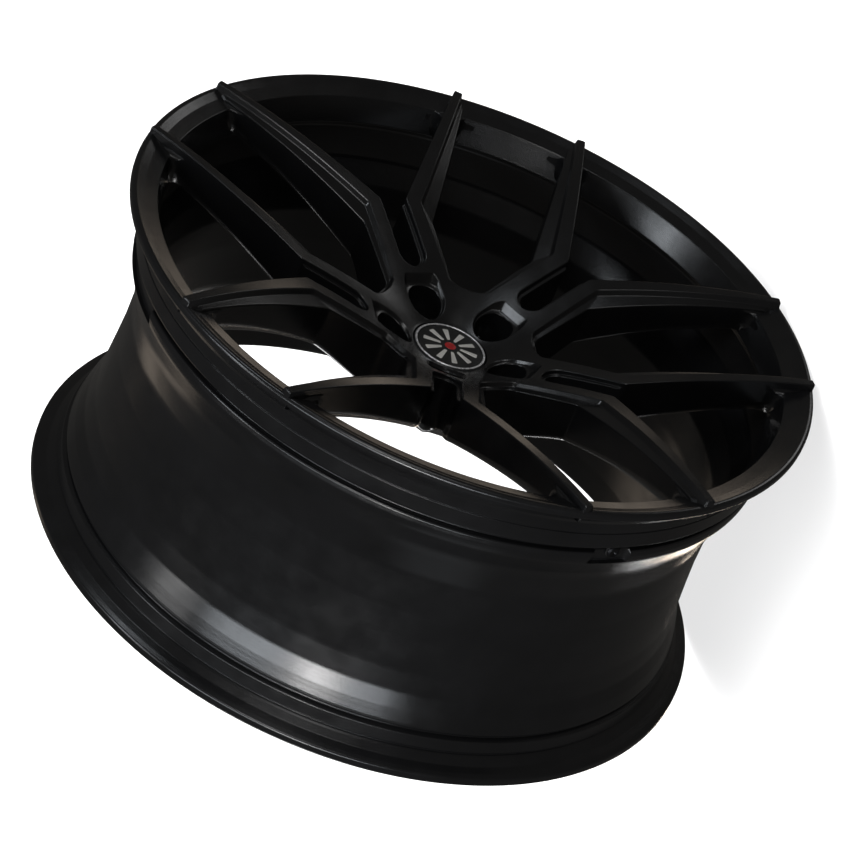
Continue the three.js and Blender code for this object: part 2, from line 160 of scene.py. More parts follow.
def resample(dense, marks, counts):
    """Points along a dense curve, with counts[k] steps up to mark k, closer near the marks."""
    s = np.r_[0, np.cumsum(np.linalg.norm(np.diff(dense, axis=0), axis=1))]
    at = [0.0]
    for m in marks:
        seg = dense[1:] - dense[:-1]
        t = ((np.array(m) - dense[:-1]) * seg).sum(1) / (seg * seg).sum(1)
        t = np.clip(t, 0, 1)
        foot = dense[:-1] + seg * t[:, None]
        k = int(np.argmin(np.linalg.norm(foot - np.array(m), axis=1)))
        at.append(s[k] + t[k] * (s[k + 1] - s[k]))
    at.append(s[-1])
    where = []
    for a, b, n in zip(at, at[1:], counts):
        t = np.arange(n) / n
        t = t - GATHER * np.sin(2 * np.pi * t) / (2 * np.pi)
        where.append(a + (b - a) * t)
    where.append([s[-1]])
    where = np.concatenate(where)
    return np.stack([np.interp(where, s, dense[:, 0]), np.interp(where, s, dense[:, 1])], 1)


def sideways(pts):
    """Plan normals to the left of the curve, which is the open side."""
    t = np.gradient(pts, axis=0)
    t /= np.linalg.norm(t, axis=1)[:, None]
    return np.stack([-t[:, 1], t[:, 0]], 1)


AXIS_B = np.array([math.sin(SECTOR / 2), math.cos(SECTOR / 2)])
SIDE_B = np.array([-math.cos(SECTOR / 2), math.sin(SECTOR / 2)])


def in_b(b, c, r=0.0):
    """A plan point given along and across the axis of the slot."""
    p = AXIS_B * b + SIDE_B * c
    return (p[0], p[1], r)


def on_share(x, z, r=0.0):
    return (x * SHARE, z * SHARE, r)


def line_at_radius(p, q, radius):
    """Where the line from p through q reaches a radius, beyond q's side."""
    p, q = np.array(p[:2]), np.array(q[:2])
    d = (q - p) / np.linalg.norm(q - p)
    b = p @ d
    t = -b + math.sqrt(b * b - p @ p + radius * radius)
    return p + d * t


class Shell:
    """Collects patches of vertices with their own normals, then joins them into one mesh."""

    def __init__(self):
        self.points, self.normals, self.faces, self.total = [], [], [], 0

    def patch(self, pts, nrm, faces):
        self.points.append(np.asarray(pts, float))
        self.normals.append(np.asarray(nrm, float))
        self.faces.append(np.asarray(faces, int) + self.total)
        self.total += len(pts)

    def strip(self, rows, nrms, closed=False):
        """Quads between successive rows of equal length."""
        n = len(rows[0])
        i = np.arange(n if closed else n - 1)
        j = (i + 1) % n
        quad = np.stack([i, j, n + j, n + i], 1)
        faces = [quad + k * n for k in range(len(rows) - 1)]
        self.patch(np.concatenate(rows), np.concatenate(nrms), np.concatenate(faces))

    def wall(self, rows, closed=False):
        """A strip over rows given as (points, normals)."""
        self.strip([r[0] for r in rows], [r[1] for r in rows], closed)

    def copies(self, transforms):
        """Puts the shell down once for each transform."""
        pts, nrm = np.concatenate(self.points), np.concatenate(self.normals)
        faces = self.faces
        self.points, self.normals, self.faces, self.total = [], [], [], 0
        base = 0
        for m in transforms:
            self.points.append(pts @ m.T)
            self.normals.append(nrm @ m.T)
            self.faces += [f + base for f in faces]
            base += len(pts)
        self.total = base

    def mesh(self, name, weld=1e-3):
        """Welds the patches, averages their normals and turns every face to agree with them."""
        pts, nrm = np.concatenate(self.points), np.concatenate(self.normals)
        key = np.round(pts / weld).astype(np.int64)
        _, first, inverse = np.unique(key, axis=0, return_index=True, return_inverse=True)
        inverse = inverse.reshape(-1)
        welded = np.zeros((len(first), 3))
        np.add.at(welded, inverse, nrm)
        welded /= np.maximum(np.linalg.norm(welded, axis=1), 1e-9)[:, None]
        pts = pts[first]
        polys = []
        for block in self.faces:
            f = inverse[block]
            p0, p1, p2 = pts[f[:, 0]], pts[f[:, 1]], pts[f[:, 2]]
            face_n = np.cross(p1 - p0, p2 - p0)
            if f.shape[1] == 4:
                face_n = face_n + np.cross(p2 - p0, pts[f[:, 3]] - p0)
            turn = (face_n * welded[f].sum(1)).sum(1) < 0
            f[turn] = f[turn][:, ::-1]
            for poly in f.tolist():
                slim = [v for k, v in enumerate(poly) if v != poly[k - 1]]
                if len(set(slim)) >= 3:
                    polys.append(slim)
        made = bpy.data.meshes.new(name)
        made.from_pydata((pts * MM).tolist(), [], polys)
        made.validate()
        made.shade_smooth()
        made.normals_split_custom_set_from_vertices(welded.tolist())
        return made


def row(pts, y, angle, side, face):
    """One row of a wall: points, and normals leaning from sideways (0 degrees) to the face's (90)."""
    a = np.radians(np.broadcast_to(angle, len(pts)))[:, None]
    flat = np.stack([side[:, 0], np.zeros(len(pts)), side[:, 1]], 1)
    n = np.cos(a) * flat + np.sin(a) * face
    n /= np.linalg.norm(n, axis=1)[:, None]
    return np.stack([pts[:, 0], np.broadcast_to(y, len(pts)), pts[:, 1]], 1), n


def face_row(pts, y, angle, side):
    return row(pts, y, angle, side, surface_normal(dish, pts, True))


def fan(n):
    """Triangles from a ring of n points to a last point in its middle."""
    i = np.arange(n)
    return np.stack([i, (i + 1) % n, np.full(n, n)], 1)


def radius_of(pts):
    return np.linalg.norm(pts, axis=1)


def inside(poly, pts):
    """Which plan points lie inside a polygon."""
    x, z = pts[:, 0][:, None], pts[:, 1][:, None]
    x0, z0 = poly[:, 0], poly[:, 1]
    x1, z1 = np.roll(x0, -1), np.roll(z0, -1)
    crosses = (z0 > z) != (z1 > z)
    at = x0 + (z - z0) * (x1 - x0) / np.where(z1 == z0, 1e-12, z1 - z0)
    return (crosses & (x < at)).sum(1) % 2 == 1


ROW_PITCH = 0.866  # of a triangular grid
RING_GAP = 0.5  # how far the grid stays away from a ring of points
EDGE_GAP = 0.42  # and from the outline, in spacings


def fill(poly, spacing, rings=()):
    """Triangles over a plan polygon, with a regular scatter of points inside it."""
    lo, hi = poly.min(0), poly.max(0)
    xs = np.arange(lo[0], hi[0], spacing)
    zs = np.arange(lo[1], hi[1], spacing * ROW_PITCH)
    gx, gz = np.meshgrid(xs, zs)
    gx = gx + (np.arange(len(zs)) % 2)[:, None] * spacing / 2
    scatter = np.stack([gx.ravel(), gz.ravel()], 1)
    for ring in rings:
        scatter = scatter[np.abs(radius_of(scatter) - ring) > spacing * RING_GAP]
        t = np.arange(0, SECTOR / 2, spacing / ring)[1:-1]
        scatter = np.concatenate([scatter, np.stack([ring * np.sin(t), ring * np.cos(t)], 1)])
    scatter = scatter[inside(poly, scatter)]
    a, b = poly, np.roll(poly, -1, axis=0)
    ab = b - a
    length = np.maximum((ab * ab).sum(1), 1e-12)
    t = np.clip(((scatter[:, None] - a) * ab).sum(2) / length, 0, 1)
    away = np.linalg.norm(scatter[:, None] - (a + ab * t[..., None]), axis=2).min(1)
    scatter = scatter[away > spacing * EDGE_GAP]
    pts = np.concatenate([poly, scatter])
    n = len(poly)
    edges = [(k, (k + 1) % n) for k in range(n)]
    verts, _, tris, *_ = delaunay_2d_cdt([Vector(p) for p in pts.tolist()], edges, [], 0, 1e-6)
    verts = np.array([tuple(v) for v in verts])
    tris = np.array([t for t in tris if len(t) == 3])
    middle = verts[tris].mean(1)
    return verts, tris[inside(poly, middle)]


# -------------------- outlines of one half sector
# x runs across the middle line of a spoke pair, z along it. The slot's axis lies at 36 degrees.
# A is the window inside a pair of spokes, B the window and slot between two pairs. The band is the
# raised crown of the spokes, and L3 is the cut edge of window A.
BASE = 68.8
A_ROOT = on_share(0.058, 0.2405, 9)
A_KINK = on_share(0.2036, 0.4347, 6)
A_TIP = on_share(0.1843, 0.9747, 1.6)
B_TIP = on_share(0.2105, 0.9763, 1.6)
SLOT_END = 81.0
SLOT_HALF = 12.9
SLOT_ROUND = 12.85
B_KINK = in_b(144.7, SLOT_HALF, 4)
SLOT_START = in_b(SLOT_END + SLOT_HALF, SLOT_HALF)
L3_BASE = 73.7
L3_ROOT = on_share(0.0415, 0.2485, 10)
L3_KINK = on_share(0.152, 0.4094, 6)
L3_FAR = on_share(0.1685, 0.953)
FLARE_FROM = 0.88 * SHARE
FILLET = 9.0
ALONG_RIM = 15.0  # how far a window's outline runs on along the rim past its corner
INTO_RIM = 0.8

slot_close = [in_b(SLOT_END, SLOT_HALF, SLOT_ROUND), in_b(SLOT_END, 0)]
band = rounded([(0, BASE), (6, BASE, 25), A_ROOT, A_KINK, A_TIP, B_TIP, B_KINK, *slot_close])
a_flare_at = line_at_radius(A_KINK, A_TIP, FLARE_FROM)
b_flare_at = line_at_radius(B_KINK, B_TIP, FLARE_FROM)
A_COUNTS = [14, 40, 64, 30]
B_COUNTS = [30, 60, 26, 16]
TIP_COUNT = 6
marks = [
    A_ROOT[:2], A_KINK[:2], a_flare_at, A_TIP[:2],
    B_TIP[:2], b_flare_at, B_KINK[:2], SLOT_START[:2],
]
U = resample(band, marks, A_COUNTS + [TIP_COUNT] + B_COUNTS)
N_A = sum(A_COUNTS) + 1
B_FROM = sum(A_COUNTS) + TIP_COUNT
U_side = sideways(U)
U_side[0] = (0, 1)
U_side[-1] = AXIS_B
A = slice(0, N_A)
B = slice(B_FROM, len(U))

# The slot's ledge opens along a quarter circle, from 0 beyond the kink to 1 inside the slot.
OPEN_FROM = 2.0
LEDGE_WIDTH = 3.5
from_kink = (np.array(B_KINK[:2]) - U[B]) @ AXIS_B
opened = np.clip((from_kink - OPEN_FROM) / LEDGE_WIDTH, 0, 1)
ledge_open = np.sqrt(np.clip(1 - (1 - opened) ** 2, 0, 1))


def rim_corner(p, q, corner_r, way):
    """The corner where a spoke's side meets the rim, and a point further along the rim."""
    corner = line_at_radius(p, q, corner_r)
    turn = math.atan2(corner[0], corner[1]) + way * ALONG_RIM / corner_r
    end = (corner_r + INTO_RIM) * np.array([math.sin(turn), math.cos(turn)])
    return (corner[0], corner[1], FILLET), tuple(end)


def a_outline(corner_r=None):
    """Window A at its cut edge. With corner_r it turns along the rim's wall at that radius."""
    head = [(0, L3_BASE), (6, L3_BASE, 5), L3_ROOT, L3_KINK]
    tail = [L3_FAR] if corner_r is None else rim_corner(L3_KINK, L3_FAR, corner_r, -1)
    l3_marks = [L3_ROOT[:2], L3_KINK[:2], line_at_radius(L3_KINK, L3_FAR, FLARE_FROM)]
    pts = resample(rounded([*head, *tail]), l3_marks, A_COUNTS)
    side = sideways(pts)
    side[0] = (0, 1)
    return pts, side


def b_outline(corner_r):
    """Window B and its slot, turning along the rim's wall at its outer end."""
    corner, end = rim_corner(B_KINK, B_TIP, corner_r, 1)
    dense = rounded([end, corner, B_KINK, *slot_close])
    pts = resample(dense, [b_flare_at, B_KINK[:2], SLOT_START[:2]], B_COUNTS)
    side = sideways(pts)
    side[-1] = AXIS_B
    return pts, side


# -------------------- walls round the openings
def near_rim(r):
    """0 along a spoke, and 1 where a window's edge turns along the rim."""
    return smooth((r - 0.87 * SHARE) / (0.025 * SHARE))


def dive_past(r, start):
    """How far a ledge dives under the lip, from a share of the radius outwards."""
    return 5.0 * smooth((r - start * SHARE) / (0.02 * SHARE))


def shelf_level(r, drop):
    """Foot of a ledge's wall, which keeps under the lip's edge at the rim."""
    on_spoke = dish(r) + drop
    under_lip = np.maximum(on_spoke, LIP_Y + 0.2)
    mix = near_rim(r)
    return (1 - mix) * on_spoke + mix * under_lip + 4 * smooth((r - 0.925 * SHARE) / 6)


face_shell = Shell()
dive = dive_past(radius_of(U), 0.955)
on_a = np.zeros(len(U))
on_a[A] = 1
on_tip = np.zeros(len(U))
on_tip[N_A - 1 : B_FROM + 1] = 1
slot_open = np.zeros(len(U))
slot_open[B] = ledge_open


def band_row(offset, drop, angle):
    pts = U + U_side * np.broadcast_to(offset, len(U))[:, None]
    return face_row(pts, dish(radius_of(pts)) + drop, angle, U_side)


riser_lean = 30 * on_a + 12 * slot_open
rows = [
    band_row(-1.1, 0, 90),
    band_row(-0.75, 0.08, 68),
    band_row(-0.35, 0.33, 45),
    band_row(-0.08, 0.72, 22 + 0.5 * riser_lean),
    band_row(0, 1.1, riser_lean),
    band_row(1.75 * on_a + 0.5 * slot_open, 3.7 + 6 * on_tip + dive * (on_a > 0), riser_lean),
]
face_shell.wall(rows)


def rear_rows(outline_at, offset, flat_to):
    """The deep wall, from just under the lip to the rounded rear edge.

    outline_at(r) gives the outline that turns at radius r. The wall starts flat_to under the face.
    """
    made = []
    near = outline_at(float(lip_wall_r(LIP_Y)))
    r = radius_of(near[0])
    at_rim = near_rim(r)
    for drop, lip_drop, angle in ((1.0, 0.3, 45), (1.5, 0.9, 15), (2.2, 1.8, 0)):
        y = (1 - at_rim) * (dish(r) + (flat_to + drop)) + at_rim * (LIP_Y + lip_drop)
        pts = near[0] + near[1] * offset[:, None]
        made.append(face_row(pts, y, angle * at_rim, near[1]))
    for k, turn in enumerate((0, 0, 15, 30, 45, 60, 75, 90)):
        t = math.radians(turn)
        level = CROWN_Y + (0.06 + 0.035 * math.sin(t)) * SHARE
        base, side = outline_at(float(lip_wall_r(level)))
        r = radius_of(base)
        height = 2.5 + 4.0 * smooth((r - 85) / 40) + 3.7 * smooth((r - 125) / 140)
        inset = 2.0 + 5.0 * smooth((r - 85) / 40) - 3.4 * smooth((r - 130) / 150)
        pts = base + side * (offset - inset * (1 - math.cos(t)))[:, None]
        y = back(radius_of(pts)) - height * (1 - math.sin(t))
        if k == 0:
            y = 0.5 * y + 0.5 * made[-1][0][:, 1]
        made.append(row(pts, y, turn, side, surface_normal(back, pts, False)))
    return made


# Window inside a pair: ledge, then the deep wall.
L3, L3_side = a_outline()
l3_r = radius_of(L3)
l3_dive = dive_past(l3_r, 0.94)


def ledge_row(offset, drop, angle):
    pts = L3 + L3_side * offset
    return face_row(pts, dish(radius_of(pts)) + drop + l3_dive, angle, L3_side)


ledge_top = band_row(2.6, 4.45 + dive, 80)
into_ledge = band_row(2.15, 4.25 + dive, 58)
a_rows = [
    (rows[-1][0][A], rows[-1][1][A]),
    (into_ledge[0][A], into_ledge[1][A]),
    (ledge_top[0][A], ledge_top[1][A]),
    ledge_row(-1.3, 6.3, 80),
    ledge_row(-0.8, 6.45, 60),
    ledge_row(-0.25, 6.85, 30),
    ledge_row(0, 7.5, 0),
    face_row(L3, shelf_level(l3_r, 8.1), 60 * near_rim(l3_r), L3_side),
]
a_rear = rear_rows(a_outline, np.zeros(N_A), 7.6)
face_shell.wall(a_rows + a_rear)

# Window and slot between two pairs.
ub, ub_side = U[B], U_side[B]
ub_r = radius_of(ub)


def slot_row(offset, drop, angle):
    pts = ub + ub_side * (offset * ledge_open)[:, None]
    return face_row(pts, dish(radius_of(pts)) + drop, angle * ledge_open, ub_side)


b_foot = ub + ub_side * (LEDGE_WIDTH * ledge_open)[:, None]
b_rows = [
    (rows[-1][0][B], rows[-1][1][B]),
    slot_row(0.75, 4.0, 50),
    slot_row(1.1, 4.15, 84),
    slot_row(2.5, 4.4, 84),
    slot_row(3.0, 4.55, 60),
    slot_row(3.35, 4.9, 30),
    slot_row(LEDGE_WIDTH, 5.4, 0),
    face_row(b_foot, shelf_level(ub_r, 6.0), 60 * near_rim(ub_r), ub_side),
]
b_rear = rear_rows(b_outline, LEDGE_WIDTH * ledge_open, 5.5)
face_shell.wall(b_rows + b_rear)

# -------------------- bolt pockets
POCKET_FLOOR = -84.6
POCKET_END = 74.2
BOLT_R = 56.0
BORE_AT = 52.8  # the socket bore stands a little inwards of the bolt circle
SEAT_Y = -54.0  # floor of the socket bore


def pocket(corners, inner_end):
    """Half a pocket's outline, from its outer end on. Its inner end starts to turn at inner_end."""
    pts = resample(rounded(corners), [corners[1][:2], corners[2][:2], inner_end[:2]], [8, 10, 12, 30])
    side = sideways(pts)
    side[0], side[-1] = -AXIS_B, AXIS_B
    return pts, side


pocket_rim = pocket(
    [
        in_b(POCKET_END, 0), in_b(POCKET_END, 14, 2.5), in_b(66.8, 17.0, 8),
        in_b(35.3, 18.2, 18.1), in_b(35.3, 0),
    ],
    in_b(53.4, 18.2),
)
pocket_foot = pocket(
    [
        in_b(70.2, 0), in_b(70.2, 11.2, 2.5), in_b(65.0, 15.8, 8),
        in_b(36.2, 17.4, 17.3), in_b(36.2, 0),
    ],
    in_b(53.4, 17.4),
)
# The wall leans, most of all at the pocket's outer end.
WALL_TOP = 0.9
WALL_FOOT = 2.6
wall_foot_y = np.maximum(POCKET_FLOOR - 1.0, dish(radius_of(pocket_foot[0])) + WALL_FOOT)
wall_fall = wall_foot_y - dish(radius_of(pocket_rim[0])) - WALL_TOP
wall_reach = np.linalg.norm(pocket_rim[0] - pocket_foot[0], axis=1)
wall_lean = np.degrees(np.arctan2(wall_reach, wall_fall))


def pocket_row(base, offset, angle, y=None, drop=0.0):
    pts, side = base[0] + base[1] * offset, base[1]
    level = dish(radius_of(pts)) + drop
    if y is not None:
        level = np.maximum(y, level)
    return face_row(pts, level, angle, side)


around = np.arctan2((pocket_foot[0] @ SIDE_B), (pocket_foot[0] @ AXIS_B) - BORE_AT)
around[0], around[-1] = 0, math.pi
outwards = np.cos(around)[:, None] * AXIS_B + np.sin(around)[:, None] * SIDE_B


def bolt_ring(centre, radius, y, angle, front=True, drop=None):
    """Half a circle round a bolt hole. With a drop it keeps at least that far under the face."""
    pts, side = AXIS_B * centre + radius * outwards, -outwards
    level = np.full(len(pts), float(y))
    if drop is not None:
        level = np.maximum(level, dish(radius_of(pts)) + drop)
    face = np.tile([0.0, -1.0 if front else 1.0, 0.0], (len(pts), 1))
    return row(pts, level, angle, side, face)


pocket_rows = [
    pocket_row(pocket_rim, -0.9, 90),
    pocket_row(pocket_rim, -0.55, 65, drop=0.1),
    pocket_row(pocket_rim, -0.2, 40, drop=0.35),
    pocket_row(pocket_rim, 0.05, wall_lean, drop=WALL_TOP),
    pocket_row(pocket_foot, -0.5, wall_lean, y=POCKET_FLOOR - 1.0, drop=WALL_FOOT),
    pocket_row(pocket_foot, 0.1, 55, y=POCKET_FLOOR - 0.25, drop=3.1),
    pocket_row(pocket_foot, 0.35, 80, y=POCKET_FLOOR, drop=3.2),
    bolt_ring(BORE_AT, 15.9, POCKET_FLOOR + 0.1, 70, drop=3.3),
    bolt_ring(BORE_AT, 15.6, POCKET_FLOOR + 0.4, 35, drop=3.7),
    bolt_ring(BORE_AT, 15.5, POCKET_FLOOR + 0.9, 0, drop=4.3),
    bolt_ring(BORE_AT, 15.3, SEAT_Y - 1.2, 0),
    bolt_ring(BORE_AT, 15.0, SEAT_Y - 0.4, 45),
    bolt_ring(BORE_AT, 14.6, SEAT_Y, 90),
    bolt_ring(BOLT_R, 11.3, SEAT_Y, 80),
    bolt_ring(BOLT_R, 10.9, SEAT_Y + 0.4, 50),
    bolt_ring(BOLT_R, 8.2, -44.6, 30),
    bolt_ring(BOLT_R, 7.5, -43.4, 0),
    bolt_ring(BOLT_R, 7.5, PAD_Y - 1.0, 0),
    bolt_ring(BOLT_R, 7.7, PAD_Y - 0.3, 45, front=False),
    bolt_ring(BOLT_R, 8.5, PAD_Y, 90, front=False),
]
face_shell.wall(pocket_rows)

# -------------------- face and back between the walls
RECESS_R = 33.3
BORE_RIM_R = 34.6
STEPS = 12


def arc(radius):
    t = np.linspace(SECTOR / 2, 0, STEPS + 1)
    return radius * np.stack([np.sin(t), np.cos(t)], 1)


def along(p, q, spacing=3.0):
    """Points strictly between p and q."""
    n = max(2, int(np.linalg.norm(np.subtract(q, p)) / spacing))
    t = np.linspace(0, 1, n + 1)[1:-1, None]
    return np.asarray(p) * (1 - t) + np.asarray(q) * t


def plan(pts):
    return pts[:, [0, 2]]


def add_region(edges, f, front, spacing, rings=()):
    """Fills the surface y = f(r) inside a loop of edges, joined by straight lines."""
    parts = []
    for part, following in zip(edges, edges[1:] + edges[:1]):
        parts += [part, along(part[-1], following[0])]
    poly = np.concatenate(parts)
    verts, tris = fill(poly, spacing, rings)
    pts = np.stack([verts[:, 0], f(radius_of(verts)), verts[:, 1]], 1)
    face_shell.patch(pts, surface_normal(f, verts, front), tris)


face_loop = [plan(rows[0][0]), plan(pocket_rows[0][0]), arc(RECESS_R)]
add_region(face_loop, dish, True, 3.2)
pad_rings = [PAD_R + 0.25 * PAD_BLEND * k for k in range(5)]
back_loop = [plan(a_rear[-1][0]), plan(b_rear[-1][0]), plan(pocket_rows[-1][0]), arc(BORE_RIM_R)]
add_region(back_loop, back, False, 3.6, rings=pad_rings)

# The half sector is repeated ten times, every second one mirrored.
flip = np.diag([-1.0, 1.0, 1.0])
turns = []
for k in range(5):
    angle = SECTOR * (k + 0.5)
    c, s = math.cos(angle), math.sin(angle)
    m = np.array([[c, 0, s], [0, 1, 0], [-s, 0, c]])
    turns += [m, m @ flip]
face_shell.copies(turns)


# -------------------- turned surfaces
def turned_profile(corners, step=8.0):
    """A dense (r, y) profile through corners (r, y, rounding), with normals to its left."""
    pts = rounded([(c[0], c[1], c[2] if len(c) > 2 else 0.0) for c in corners])
    fine = [pts[:1]]
    for a, b in zip(pts, pts[1:]):
        n = max(1, int(np.linalg.norm(b - a) / step))
        fine.append(a + (b - a) * (np.arange(1, n + 1) / n)[:, None])
    pts = np.concatenate(fine)
    seg = np.diff(pts, axis=0)
    n_seg = np.stack([-seg[:, 1], seg[:, 0]], 1)  # the segment's length is the weight
    n = np.zeros_like(pts)
    n[:-1] += n_seg
    n[1:] += n_seg
    n /= np.linalg.norm(n, axis=1)[:, None]
    return pts, n


def thin(pts, n, least=0.35):
    """Drops profile points that lie closer than least, but keeps the ends of straight stretches."""
    gap = np.linalg.norm(np.diff(pts, axis=0), axis=1)
    keep = [0]
    for k in range(1, len(pts) - 1):
        ends_straight = max(gap[k - 1], gap[k]) > 2 * least
        if ends_straight or np.linalg.norm(pts[k] - pts[keep[-1]]) > least:
            keep.append(k)
    keep.append(len(pts) - 1)
    return pts[keep], n[keep]


def revolve(shell, corners, angles, closed=True, least=0.35, reshape=None):
    """Turns a profile round the axis. reshape(radii, y, angles) may cut into the turned surface."""
    pts, n = thin(*turned_profile(corners), least)
    s, c = np.sin(angles), np.cos(angles)
    radius = np.tile(pts[:, :1], (1, len(angles)))
    if reshape is not None:
        radius = np.stack([reshape(r, y, angles) for r, y in zip(radius, pts[:, 1])])
    level = np.tile(pts[:, 1:], (1, len(angles)))
    grid = np.stack([radius * s, level, radius * c], 2)
    normals = np.stack([n[:, :1] * s, np.tile(n[:, 1:], (1, len(angles))), n[:, :1] * c], 2)
    moved = np.abs(radius - pts[:, :1]) > 1e-6
    if moved.any():
        near = moved | np.roll(moved, 1, 1) | np.roll(moved, -1, 1)
        near[1:] |= moved[:-1]
        near[:-1] |= moved[1:]
        cut = np.cross(np.gradient(grid, axis=0), np.gradient(grid, axis=1))
        cut /= np.maximum(np.linalg.norm(cut, axis=2), 1e-9)[:, :, None]
        cut *= np.sign((cut * normals).sum(2))[:, :, None]
        normals[near] = cut[near]
    shell.strip(list(grid), list(normals), closed)


def share(r, d, rounding=0.0):
    return (r * SHARE, CROWN_Y + d * SHARE, rounding)


HUB_BORE_R = 33.3
CAP_BORE_R = 29.4
SNAP_Y = -52.0  # the cap's legs snap behind this edge
hub_angles = np.arange(120) * math.radians(3)
recess_y = float(dish(RECESS_R))
revolve(face_shell, [
    (RECESS_R, recess_y), (32.7, recess_y + 0.2, 0.45), (32.55, -66.0, 0.3),
    (CAP_BORE_R, -66.0, 0.4), (CAP_BORE_R, SNAP_Y, 0.4), (HUB_BORE_R, SNAP_Y, 0.4),
    (HUB_BORE_R, -36.3, 0.3), (BORE_RIM_R, PAD_Y),
], hub_angles, least=0.12)

# The barrel's closed profile as shares of radius and depth, from the lip round the outside and back
# along the inside. The third number is the rounding of the corner.
lip_inner = share(LIP_R, LIP_DEPTH, 1.3)
lip_outer = share(0.9588, 0.0138, 1.5)
# It starts in the middle of a straight stretch.
profile_start = tuple(np.mean([lip_inner[:2], lip_outer[:2]], axis=0))
barrel_profile = [
    profile_start, lip_outer,
    # front flange
    share(0.985, 0.0022, 4), share(0.99985, 0.0035, 3), share(0.99985, 0.023, 2.0),
    share(0.989, 0.034, 3), share(0.970, 0.047, 6), share(0.952, 0.0655, 2.0),
    share(0.9455, 0.079, 0.5),
    # front bead seat and hump
    share(0.9425, 0.081, 0.3), share(0.938, 0.0835, 0.8), share(0.9365, 0.117, 0.5),
    share(0.9335, 0.1185, 0.3), share(0.9335, 0.121, 0.3), share(0.9362, 0.1225, 0.5),
    share(0.9358, 0.170, 2.4),
    # groove and its rear wall
    share(0.9135, 0.1785, 1.0), share(0.9135, 0.1868, 0.8), share(0.9305, 0.1905, 2.0),
    share(0.9325, 0.207, 8), share(0.9302, 0.2255, 18),
    # drop centre
    share(0.8955, 0.300, 60), share(0.8748, 0.400, 40), share(0.8765, 0.52, 60),
    share(0.882, 0.60, 60), share(0.8905, 0.70, 60), share(0.901, 0.764, 20),
    # rear hump and bead seat
    share(0.9165, 0.806, 20), share(0.9265, 0.842, 8), share(0.9285, 0.852, 1.7),
    share(0.919, 0.8555, 0.8), share(0.919, 0.862, 0.8), share(0.936, 0.8675, 1.0),
    share(0.941, 0.904, 1.7), share(0.934, 0.9065, 0.4), share(0.934, 0.911, 0.4),
    # rear flange
    share(0.9435, 0.9165, 2), share(0.963, 0.9305, 5), share(0.984, 0.9375, 4),
    share(0.99985, 0.944, 2.4), share(0.99985, 0.9655, 2.6), share(0.988, 0.9762, 2.0),
    (0.977 * SHARE, REAR_Y, 1.5), (0.951 * SHARE, REAR_Y, 1.5), share(0.9445, 0.9735, 1.0),
    # inside, from the rear to the windows
    share(0.915, 0.952, 6), share(0.902, 0.86, 30), share(0.876, 0.74, 40),
    share(0.8605, 0.66, 60), share(0.853, 0.5, 80), share(0.8545, 0.39, 30),
    share(0.872, 0.30, 25), share(0.904, 0.225, 12), share(0.904, 0.116, 6),
    share(0.8915, 0.0985, 2.0), lip_inner, profile_start,
]

# Two gaps are milled in the hump behind the front bead seat. Each has a middle angle, half a length
# and the end (1 or -1) that runs out as a three-sided facet.
VALVE_TURN = math.radians(252)
GAPS = ((VALVE_TURN, 16.0, 1), (0.0, 54.0, -1))
GAP_FLOOR = 272.6
GAP_Y = (-92.6, -75.5)
FACET = 6.0
CUT_START = 0.03  # the profile is repeated on both sides of a gap's upright end
CUT_END = 0.4
FACET_STEPS = 9


def mill_gaps(r, y, angles):
    """The radius of the turned surface at one level, with the gaps cut into it."""
    if not GAP_Y[0] <= y <= GAP_Y[1]:
        return r
    reach = max(1e-3, FACET * (y - GAP_Y[0]) / (GAP_Y[1] - GAP_Y[0])) / GAP_FLOOR
    for middle, half_length, end in GAPS:
        d = end * ((angles - middle + math.pi) % (2 * math.pi) - math.pi)
        past = (d - half_length / GAP_FLOOR) / reach
        depth = np.clip(1 - past, 0, 1) * (d > -half_length / GAP_FLOOR)
        r = np.where(r > GAP_FLOOR, r - (r - GAP_FLOOR) * depth, r)
    return r


barrel_angles = [np.radians(np.arange(0, 360, 1.2))]
for middle, half_length, end in GAPS:
    facet = half_length + np.linspace(0, FACET, FACET_STEPS)
    cuts = np.r_[-half_length - CUT_START, -half_length + CUT_END, facet]
    barrel_angles.append((middle + end * cuts / GAP_FLOOR) % (2 * math.pi))
barrel_angles = np.sort(np.concatenate(barrel_angles))
barrel = Shell()
revolve(barrel, barrel_profile, barrel_angles, least=0.3, reshape=mill_gaps)


def sector_solid(shell, corners, a0, a1, steps=14):
    """A closed profile turned through part of a circle, with flat ends."""
    closed = corners + [corners[0]]
    angles = np.linspace(a0, a1, steps)
    revolve(shell, closed, angles, closed=False, least=0.1)
    flat = [Vector((c[0], c[1], 0)) for c in corners]
    tris = np.array(tessellate_polygon([flat]))
    for a, away in ((a0, -1), (a1, 1)):
        pts = np.array([[c[0] * math.sin(a), c[1], c[0] * math.cos(a)] for c in corners])
        n = away * np.array([math.cos(a), 0, -math.sin(a)])
        shell.patch(pts, np.tile(n, (len(pts), 1)), tris)


def tube(shell, path, radius, sides=10, bulge=0.3):
    """Round wire along a path. Its ends stand out by a share of the wire's radius."""
    t = np.gradient(path, axis=0)
    t /= np.linalg.norm(t, axis=1)[:, None]
    e1 = np.cross(t, [0.0, 1.0, 0.0])
    e1 /= np.linalg.norm(e1, axis=1)[:, None]
    e2 = np.cross(t, e1)
    a = np.linspace(0, 2 * math.pi, sides, endpoint=False)[:, None]
    nrms = [np.cos(a) * u + np.sin(a) * v for u, v in zip(e1, e2)]
    rows = [middle + radius * n for middle, n in zip(path, nrms)]
    shell.strip(rows, nrms, closed=True)
    for k, away in ((0, -1), (-1, 1)):
        tip = path[k][None] + t[k] * away * radius * bulge
        shell.patch(np.concatenate([rows[k], tip]), np.tile(t[k] * away, (sides + 1, 1)), fan(sides))


